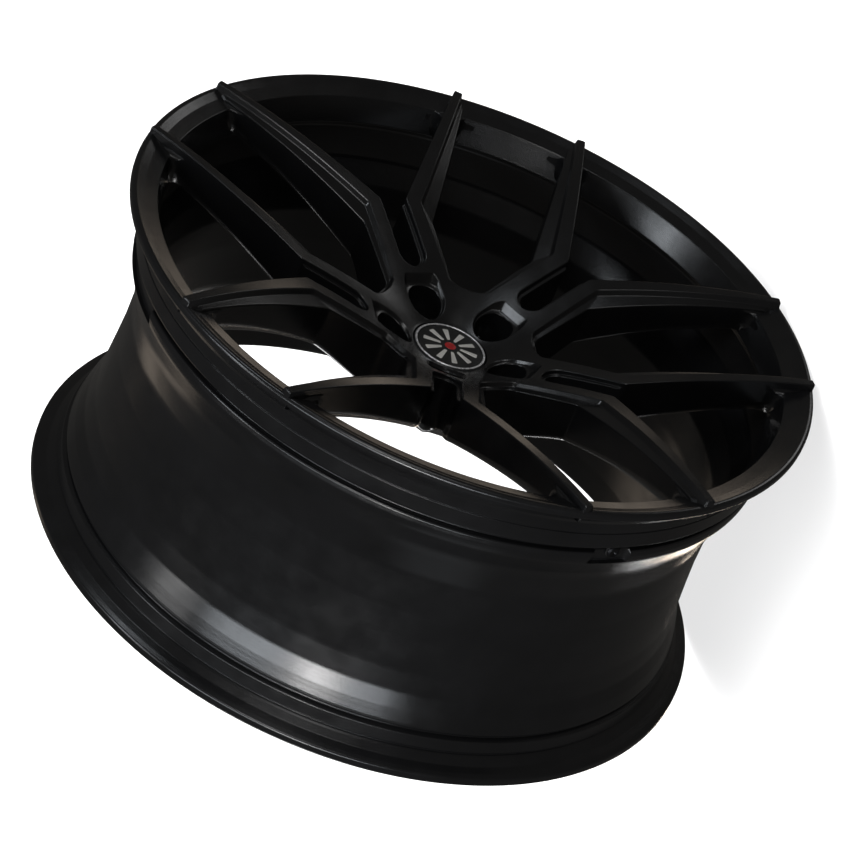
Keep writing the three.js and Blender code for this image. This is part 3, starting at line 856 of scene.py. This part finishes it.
# -------------------- centre cap
def ring_steps(n):
    return np.linspace(0, 2 * math.pi, n, endpoint=False)


cap = Shell()
revolve(cap, [
    (0, -71.78), (28.62, -71.78, 0.15), (28.75, -72.5, 0.2), (31.1, -72.62, 0.25),
    (31.95, -71.8, 0.55), (31.95, -66.35, 0.3), (28.5, -66.35, 0.2), (28.4, -64.6, 0.3), (0, -64.6),
], ring_steps(144), least=0.12)
LEGS = 6
LEG_HALF_ANGLE = math.radians(26.5)
leg = [
    (28.55, -66.0), (28.55, -51.3), (28.95, -50.9), (28.75, -50.2), (28.15, -49.65), (26.4, -49.65),
    (26.25, -49.9), (26.25, -52.5), (27.05, -53.15), (27.05, -54.75), (26.25, -55.3), (26.25, -65.0),
]
for k in range(LEGS):
    middle = math.radians(360 / LEGS * k)
    sector_solid(cap, leg, middle - LEG_HALF_ANGLE, middle + LEG_HALF_ANGLE)

trim = Shell()
revolve(trim, [
    (29.9, -72.9), (28.98, -72.9, 0.1), (29.0, -73.25, 0.2), (29.45, -73.55, 0.35),
    (30.35, -73.55, 0.35), (30.8, -73.25, 0.2), (30.82, -72.9, 0.1), (29.9, -72.9),
], ring_steps(180), least=0.06)

DISC_R = 28.35
DOME_TOP = -73.3
DOME_FALL = 0.55


def disc_y(r):
    """Level of the emblem's slightly domed face."""
    return DOME_TOP + DOME_FALL * (np.asarray(r) / DISC_R) ** 2


emblem = Shell()
dome = [(r, float(disc_y(r)), rounding) for r, rounding in ((0, 0), (12, 20), (22, 20), (27.8, 0.3))]
revolve(emblem, [
    *dome, (DISC_R, -72.5, 0.25), (DISC_R, -72.1, 0.05), (0, -72.1),
], ring_steps(120), least=0.12)


def raised(shell, corners, height, bevel, count=48):
    """A low bevelled plaque on the emblem's dome, with its outline given clockwise from the face."""
    dense = rounded(corners + [corners[0], corners[1]])
    along_it = np.r_[0, np.cumsum(np.linalg.norm(np.diff(dense, axis=0), axis=1))]
    first_middle = (np.array(corners[0][:2]) + corners[1][:2]) / 2
    first = np.argmin(np.linalg.norm(dense - first_middle, axis=1))
    loop, along_it = dense[first:], along_it[first:] - along_it[first]
    at = np.linspace(0, along_it[-1], count, endpoint=False)
    pts = np.stack([np.interp(at, along_it, loop[:, 0]), np.interp(at, along_it, loop[:, 1])], 1)
    t = np.roll(pts, -1, axis=0) - np.roll(pts, 1, axis=0)
    t /= np.linalg.norm(t, axis=1)[:, None]
    side = np.stack([-t[:, 1], t[:, 0]], 1)
    to_front = np.tile([0.0, -1.0, 0.0], (count + 1, 1))
    steps = (
        (0, -0.1, 0), (0, height - bevel, 10),
        (bevel * 0.35, height - 0.3 * bevel, 45), (bevel, height, 85),
    )
    rows = []
    for inset, lift, lean in steps:
        edge = pts - side * inset
        rows.append(row(edge, disc_y(radius_of(edge)) - lift, lean, side, to_front[:-1]))
    shell.wall(rows, closed=True)
    top = rows[-1][0]
    shell.patch(np.concatenate([top, top.mean(0)[None]]), to_front, fan(count))


# Ten plain strokes in five pairs round a dot.
stroke = [(1.5, 8.2, 0.5), (4.6, 23.4, 0.8), (9.6, 21.9, 0.8), (4.2, 8.2, 0.5)]
mirrored = [(-x, z, r) for x, z, r in reversed(stroke)]
strokes = Shell()
for k in range(5):
    c, s = math.cos(SECTOR * k), math.sin(SECTOR * k)
    for shape in (mirrored, stroke):
        spun = [(x * c + z * s, -x * s + z * c, r) for x, z, r in shape]
        raised(strokes, spun, height=0.32, bevel=0.22)
dot = Shell()
revolve(dot, [
    (0, -73.8), (3.2, -73.74, 1.4), (4.8, -73.5, 0.4), (5.0, -73.2), (0, -73.2),
], ring_steps(48), least=0.08)

WIRE_R = 26.0
WIRE_Y = -53.95
a = np.linspace(math.radians(20), math.radians(340), 120)
snap_wire = Shell()
tube(snap_wire, np.stack([WIRE_R * np.sin(a), np.full(len(a), WIRE_Y), WIRE_R * np.cos(a)], 1), 0.75)

# -------------------- valve
# Its profiles are (radius, height), where height runs inwards from the floor of its gap.
VALVE_Y = -86.0
inward = -np.array([math.sin(VALVE_TURN), 0, math.cos(VALVE_TURN)])
across = np.array([0.0, 1.0, 0.0])
valve_axes = np.stack([across, inward, np.cross(across, inward)], 1)
valve_origin = -inward * GAP_FLOOR + np.array([0, VALVE_Y, 0])


def placed(shell):
    shell.points = [p @ valve_axes.T + valve_origin for p in shell.points]
    shell.normals = [n @ valve_axes.T for n in shell.normals]
    return shell


def thread(r_low, r_high, start, end, pitch):
    """Profile corners of a thread's crests and roots."""
    out = []
    t = start
    while t + pitch <= end + 1e-6:
        out += [
            (r_low, t), (r_high, t + pitch * 0.35),
            (r_high, t + pitch * 0.6), (r_low, t + pitch * 0.95),
        ]
        t += pitch
    return out


def turned_part(corners, n=64, reshape=None):
    shell = Shell()
    revolve(shell, corners, ring_steps(n), least=0.05, reshape=reshape)
    return placed(shell)


stem = turned_part([
    (1.2, -3.9), (4.2, -3.95, 0.4), (5.9, -2.9, 0.7), (5.95, -1.85, 0.2), (4.0, -1.85, 0.1),
    (3.95, 6.0, 0.1), *thread(3.7, 3.95, 6.2, 12.8, 1.0), (3.55, 13.4, 0.2), (3.55, 24.2, 0.3),
    *thread(3.6, 3.88, 24.6, 35.2, 0.8), (3.6, 35.9, 0.15), (2.65, 35.95, 0.1), (2.62, 17.5, 0.1),
    (1.2, 16.2, 0.1), (1.2, -3.9),
])
grommet = turned_part([
    (5.2, -1.48), (5.7, -1.45, 0.25), (6.0, -1.1, 0.3), (5.95, -0.35, 0.2), (5.3, -0.32, 0.1),
    (5.28, 2.95, 0.2), (4.35, 2.98, 0.1), (4.33, -1.48, 0.1), (5.2, -1.48),
])
washer = turned_part([
    (6, 4.42), (7.95, 4.42, 0.15), (7.95, 5.38, 0.15), (4.35, 5.38, 0.15), (4.35, 4.42, 0.15),
    (6, 4.42),
])

NUT_START = 5.6
NUT_BORE_MAX = 5.0
NUT_FLAT = 6.06  # from the axis to a flat


def hexagon(r, t, angles):
    if t < NUT_START or r[0] < NUT_BORE_MAX:
        return r
    flat = NUT_FLAT / np.cos((angles % (math.pi / 3)) - math.pi / 6)
    return np.minimum(r, flat)


nut = turned_part([
    (5.6, 5.72), (6.2, 5.75, 0.1), (6.95, 6.25, 0.2), (6.95, 10.1, 0.2), (6.2, 10.65, 0.1),
    (5.0, 10.68, 0.3), (4.33, 10.2, 0.1), (4.33, 6.1, 0.1), (4.8, 5.72, 0.1), (5.6, 5.72),
], n=144, reshape=hexagon)
core_body = turned_part([
    (1.5, 21.02), (1.88, 21.05, 0.1), (2.25, 23.4, 0.2), *thread(2.05, 2.26, 28.2, 33.0, 0.7),
    (2.2, 33.4, 0.1), (1.82, 33.45, 0.05), (1.8, 23.55, 0.1), (0.92, 23.5, 0.05),
    (0.92, 21.05, 0.05), (1.5, 21.02),
], n=36)
core_pin = turned_part([
    (0, 19.72), (1.3, 19.74, 0.15), (1.48, 20.0, 0.1), (1.48, 20.68, 0.08), (0.58, 20.7, 0.1),
    (0.58, 31.6, 0.1), (1.36, 31.65, 0.1), (1.36, 32.35, 0.1), (0.58, 32.4, 0.1), (0.58, 34.9, 0.15),
    (0.35, 35.15, 0.15), (0, 35.18),
], n=28)

COIL_R = 1.2
COIL_TURNS = 4
COIL_START = 23.85
COIL_LENGTH = 7.4
t = np.linspace(0, 1, 120)
a = 2 * math.pi * COIL_TURNS * t
coil = np.stack([COIL_R * np.sin(a), COIL_START + COIL_LENGTH * t, COIL_R * np.cos(a)], 1)
core_spring = Shell()
tube(core_spring, coil, 0.19, sides=8)
placed(core_spring)

KNURL_FROM, KNURL_TO = 27.5, 38.2
KNURL_DEPTH = 0.22
KNURL_TEETH = 30


def knurl(r, t, angles):
    if KNURL_FROM < t < KNURL_TO and r[0] > 5:
        return r - KNURL_DEPTH * (0.5 + 0.5 * np.cos(KNURL_TEETH * angles))
    return r


valve_cap = turned_part([
    (4.6, 25.52), (5.15, 25.55, 0.2), (5.28, 26.6, 0.2), (5.28, 27.3, 0.1), (5.27, 27.6, 0.05),
    (5.27, 38.0, 0.2), (5.2, 38.5, 0.3), (4.5, 39.75, 0.7), (2.0, 39.97, 1.0), (0, 39.97),
], n=240, reshape=knurl)
cap_inside = turned_part([(0, 38.42), (4.22, 38.42, 0.2), (4.22, 25.9, 0.2), (4.6, 25.52)], n=48)
for patch in zip(cap_inside.points, cap_inside.normals, cap_inside.faces):
    valve_cap.patch(*patch)
seal = turned_part([
    (3.0, 36.32), (3.75, 36.35, 0.2), (3.75, 38.05, 0.2), (2.25, 38.08, 0.2), (2.25, 36.35, 0.2),
    (3.0, 36.32),
], n=48)


# -------------------- materials
NOISE_LOW, NOISE_HIGH = 0.3, 0.7  # the range that noise mostly keeps to


class Looks:
    """A node material: a Principled shader with procedural colour, roughness and bump."""

    def __init__(self, name, rough, metallic=0.0, specular=0.5, coat=0.0, coat_rough=0.1):
        self.made = bpy.data.materials.new(name)
        self.made.use_nodes = True
        self.tree = self.made.node_tree
        self.shader = self.tree.nodes["Principled BSDF"]
        self.shader.inputs["Roughness"].default_value = rough
        self.shader.inputs["Metallic"].default_value = metallic
        self.shader.inputs["Specular IOR Level"].default_value = specular
        self.shader.inputs["Coat Weight"].default_value = coat
        self.shader.inputs["Coat Roughness"].default_value = coat_rough
        self.place = self.tree.nodes.new("ShaderNodeTexCoord").outputs["Object"]

    def link(self, a, b):
        self.tree.links.new(a, b)

    def noise(self, scale, detail, stretch=(1, 1, 1)):
        shift = self.tree.nodes.new("ShaderNodeMapping")
        shift.inputs["Scale"].default_value = stretch
        self.link(self.place, shift.inputs["Vector"])
        n = self.tree.nodes.new("ShaderNodeTexNoise")
        n.inputs["Scale"].default_value = scale
        n.inputs["Detail"].default_value = detail
        self.link(shift.outputs["Vector"], n.inputs["Vector"])
        return n.outputs["Fac"]

    def colour(self, fac, dark, light):
        ramp = self.tree.nodes.new("ShaderNodeValToRGB")
        for stop, at, rgb in zip(ramp.color_ramp.elements, (NOISE_LOW, NOISE_HIGH), (dark, light)):
            stop.position = at
            stop.color = (*rgb, 1)
        self.link(fac, ramp.inputs["Fac"])
        self.link(ramp.outputs["Color"], self.shader.inputs["Base Color"])

    def roughness(self, fac, low, high):
        span = self.tree.nodes.new("ShaderNodeMapRange")
        span.inputs["From Min"].default_value = NOISE_LOW
        span.inputs["From Max"].default_value = NOISE_HIGH
        span.inputs["To Min"].default_value = low
        span.inputs["To Max"].default_value = high
        self.link(fac, span.inputs["Value"])
        self.link(span.outputs["Result"], self.shader.inputs["Roughness"])

    def bump(self, heights, distance):
        """Adds up heights given as (output, strength)."""
        last = None
        for out, strength in heights:
            b = self.tree.nodes.new("ShaderNodeBump")
            b.inputs["Strength"].default_value = strength
            b.inputs["Distance"].default_value = distance
            self.link(out, b.inputs["Height"])
            if last is not None:
                self.link(last, b.inputs["Normal"])
            last = b.outputs["Normal"]
        self.link(last, self.shader.inputs["Normal"])


def paint(name, lathe_marks):
    """Satin black coating with a faint orange peel, and lathe marks under it on the barrel."""
    m = Looks(name, 0.22)
    m.colour(m.noise(14, 4), (0.0045, 0.0045, 0.0048), (0.0065, 0.0065, 0.007))
    m.roughness(m.noise(45, 5), 0.19, 0.27)
    heights = [(m.noise(420, 2), 0.05), (m.noise(950, 2), 0.06), (m.noise(2600, 2), 0.03)]
    if lathe_marks:
        heights.append((m.noise(1.0, 2, stretch=(3, 900, 3)), 0.06))
    m.bump(heights, 0.0006)
    return m.made


def look(name, rough, colours, roughness=None, grain=None, stretch=(1, 1, 1), **surface):
    """A mottled material with uneven roughness and a fine grain.

    colours is (noise scale, detail, dark, light), roughness is (noise scale, low, high) and grain is
    (noise scale, detail, strength, depth).
    """
    m = Looks(name, rough, **surface)
    scale, detail, dark, light = colours
    m.colour(m.noise(scale, detail), dark, light)
    if roughness:
        scale, low, high = roughness
        m.roughness(m.noise(scale, 3, stretch), low, high)
    if grain:
        scale, detail, strength, depth = grain
        m.bump([(m.noise(scale, detail), strength)], depth)
    return m.made


face_paint = paint("satin_black_face", False)
barrel_paint = paint("satin_black_barrel", True)
plastic = look(
    "cap_plastic", 0.4, specular=0.45, colours=(30, 3, (0.010, 0.010, 0.011), (0.016, 0.016, 0.017)),
    roughness=(160, 0.34, 0.46), grain=(2200, 3, 0.12, 0.0003),
)
chrome = look(
    "cap_chrome", 0.26, metallic=0.62, colours=(60, 2, (0.78, 0.78, 0.79), (0.86, 0.86, 0.87)),
    roughness=(300, 0.2, 0.34), grain=(1800, 2, 0.03, 0.0002),
)
disc = look(
    "emblem_disc", 0.42, specular=0.4, colours=(90, 4, (0.006, 0.006, 0.006), (0.011, 0.011, 0.011)),
    roughness=(500, 0.36, 0.5), grain=(4000, 2, 0.25, 0.0002),
)
silver = look(
    "emblem_silver", 0.3, metallic=0.35, colours=(120, 3, (0.72, 0.70, 0.66), (0.85, 0.83, 0.79)),
    roughness=(900, 0.26, 0.42), stretch=(1, 1, 6), grain=(3000, 2, 0.08, 0.0002),
)
red = look(
    "emblem_red", 0.25, coat=0.5, coat_rough=0.05,
    colours=(200, 3, (0.36, 0.010, 0.012), (0.5, 0.018, 0.02)), grain=(1500, 2, 0.05, 0.0002),
)
steel = look(
    "spring_wire", 0.3, metallic=1.0, colours=(200, 3, (0.45, 0.45, 0.46), (0.6, 0.6, 0.62)),
    roughness=(900, 0.22, 0.4), grain=(5000, 2, 0.1, 0.0001),
)
anodised = look(
    "valve_anodised", 0.35, metallic=0.85,
    colours=(150, 3, (0.012, 0.012, 0.013), (0.02, 0.02, 0.022)),
    roughness=(900, 0.28, 0.42), grain=(4000, 2, 0.1, 0.0001),
)
rubber = look(
    "valve_rubber", 0.8, specular=0.3, colours=(300, 4, (0.012, 0.012, 0.012), (0.022, 0.021, 0.02)),
    roughness=(900, 0.7, 0.9), grain=(3500, 3, 0.3, 0.0002),
)
brass = look(
    "valve_brass", 0.28, metallic=1.0, colours=(200, 3, (0.52, 0.35, 0.13), (0.68, 0.48, 0.2)),
    roughness=(900, 0.2, 0.36), grain=(4000, 2, 0.08, 0.0001),
)

# -------------------- pieces
spoke_nodes = ["spoke_%d" % k for k in range(1, 11)]
pieces = [
    ("forging_face", face_shell, "wheel", ["wheel_hub", *spoke_nodes], "wheel_paint", face_paint),
    ("forging_barrel", barrel, "wheel", ["rim_barrel"], "wheel_paint", barrel_paint),
    ("cap_body", cap, "centre_cap", ["centre_cap_body"], "cap_plastic", plastic),
    ("cap_trim_ring", trim, "centre_cap", ["centre_cap_ring"], "cap_chrome", chrome),
    ("cap_emblem_disc", emblem, "centre_cap", ["centre_cap_emblem"], "emblem_plastic", disc),
    ("cap_emblem_strokes", strokes, "centre_cap", [], "cap_chrome", silver),
    ("cap_emblem_dot", dot, "centre_cap", [], "emblem_plastic", red),
    ("cap_snap_wire", snap_wire, "centre_cap", ["centre_cap_spring"], "spring_steel", steel),
    ("valve_stem_fine", stem, "wheel", ["valve_stem"], "valve_metal", anodised),
    ("valve_grommet_fine", grommet, "wheel", ["valve_grommet"], "valve_rubber", rubber),
    ("valve_washer_fine", washer, "wheel", ["valve_washer"], "valve_metal", anodised),
    ("valve_nut_fine", nut, "wheel", ["valve_nut"], "valve_metal", anodised),
    ("valve_core_body_fine", core_body, "wheel", ["valve_core_body"], "valve_brass", brass),
    ("valve_core_spring_fine", core_spring, None, ["valve_core_spring"], "spring_steel", steel),
    ("valve_core_pin_fine", core_pin, "valve_pin", ["valve_core_pin"], "valve_brass", brass),
    ("valve_cap_fine", valve_cap, "valve_cap", ["valve_cap"], "cap_plastic", plastic),
    ("valve_cap_seal_fine", seal, "valve_cap", ["valve_cap_seal"], "valve_rubber", rubber),
]
scene = bpy.context.scene
for name, shell, body, replaced, slot, material in pieces:
    mesh = shell.mesh(name)
    mesh.materials.append(material)
    o = bpy.data.objects.new(name, mesh)
    scene.collection.objects.link(o)
    if body is not None:
        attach(o, body)
    if replaced:
        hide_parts(*replaced)

# The core spring between its seat and the pin's collar is left on no body, with its placement baked
# into its mesh.
spring = bpy.data.objects["valve_core_spring_fine"]
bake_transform(spring)

# -------------------- floor, light and camera, in metres
FLOOR_HALF = 14.0
FLOOR_Z = -0.2975
floor_mesh = bpy.data.meshes.new("studio_floor")
signs = ((-1, -1), (1, -1), (1, 1), (-1, 1))
floor_corners = [(x * FLOOR_HALF, y * FLOOR_HALF, FLOOR_Z) for x, y in signs]
floor_mesh.from_pydata(floor_corners, [], [(0, 1, 2, 3)])
floor_mesh.materials.append(look(
    "studio_floor", 0.9, specular=0.1, colours=(1.5, 2, (0.90, 0.90, 0.905), (0.92, 0.92, 0.925)),
))
floor = bpy.data.objects.new("studio_floor", floor_mesh)
scene.collection.objects.link(floor)

# The floor is lit by its own lamps and does not show in the wheel's paint.
floor.visible_glossy = False
floor.visible_diffuse = False
floor.visible_shadow = False
floor_only = bpy.data.collections.new("floor_only")
floor_only.objects.link(floor)
wheel_only = bpy.data.collections.new("wheel_only")
for o in scene.collection.objects:
    if o.type == "MESH" and o is not floor:
        wheel_only.objects.link(o)

scene.view_settings.view_transform = "Standard"
scene.view_settings.look = "None"

WHITE = (1.0, 1.0, 1.0)
COOL = (0.88, 0.94, 1.0)
WARM = (1.0, 0.84, 0.68)


def panel(
    name, azimuth, elevation, width, height, power, colour=WHITE,
    away=3.5, lights=wheel_only, shadow=True,
):
    """A soft box facing the wheel. Azimuth 0 is in front of the face, 90 towards +X, 180 behind."""
    data = bpy.data.lights.new(name, "AREA")
    data.shape = "RECTANGLE"
    data.size, data.size_y = width, height
    data.energy = power
    data.color = colour
    data.use_shadow = shadow
    a, e = math.radians(azimuth), math.radians(elevation)
    at = away * Vector((math.sin(a) * math.cos(e), -math.cos(a) * math.cos(e), math.sin(e)))
    lamp = bpy.data.objects.new(name, data)
    lamp.location = at
    lamp.rotation_euler = (-at).to_track_quat("-Z", "Y").to_euler()
    lamp.visible_camera = False
    scene.collection.objects.link(lamp)
    lamp.light_linking.receiver_collection = lights


world = bpy.data.worlds.new("studio")
world.use_nodes = True
background = world.node_tree.nodes["Background"]
background.inputs["Color"].default_value = (1.0, 0.96, 0.9, 1)
background.inputs["Strength"].default_value = 0.065
scene.world = world

panel("floor_fill", 0, 90, 20, 20, 3000, away=8, lights=floor_only, shadow=False)
panel("floor_soft", 0, 90, 5, 5, 130, away=4, lights=floor_only)
panel("side_main", 270, 20, 0.85, 0.85, 52)
panel("side_low", 270, 4, 0.85, 0.85, 18, COOL)
panel("side_high", 270, 43, 0.85, 1.8, 36, COOL)
panel("side_top", 255, 72, 0.85, 0.85, 10)
panel("front_side", 324, 20, 0.85, 0.85, 20)
panel("front_top", 328, 69, 0.85, 0.85, 22, COOL)
panel("front_right", 18, 14, 0.6, 0.9, 10, COOL)
panel("front_low", 350, 2, 1.2, 0.9, 8)
panel("rear_level", 174, -2, 1.2, 0.9, 26)
panel("rear_side", 141, 24, 1.2, 0.85, 1.8, WARM)
panel("low_side", 80, -22, 0.85, 0.6, 1.1, WARM)
panel("low_front", 48, -36, 0.8, 0.7, 3)
panel("low_rear", 142, -32, 0.9, 0.55, 9.5, WARM)
panel("low_back", 156, -38, 0.6, 0.5, 1.5)
panel("back_soft", 212, -6, 1.6, 1.2, 1.2, COOL)

LENS_MM = 149.24
SENSOR_MM = 36
CAMERA_AT = (-2.3074, -1.57246, 0.97951)
cam_data = bpy.data.cameras.new("camera")
cam_data.lens = LENS_MM
cam_data.sensor_width = SENSOR_MM
cam = bpy.data.objects.new("camera", cam_data)
forward = Vector((0.7777, 0.5332, -0.3328)).normalized()
up = Vector((0.607, -0.774, 0.1796))
up = (up - forward * up.dot(forward)).normalized()
right = forward.cross(up)
turn = Matrix((right, up, -forward)).transposed().to_4x4()
cam.matrix_world = Matrix.Translation(CAMERA_AT) @ turn
scene.collection.objects.link(cam)
scene.camera = cam
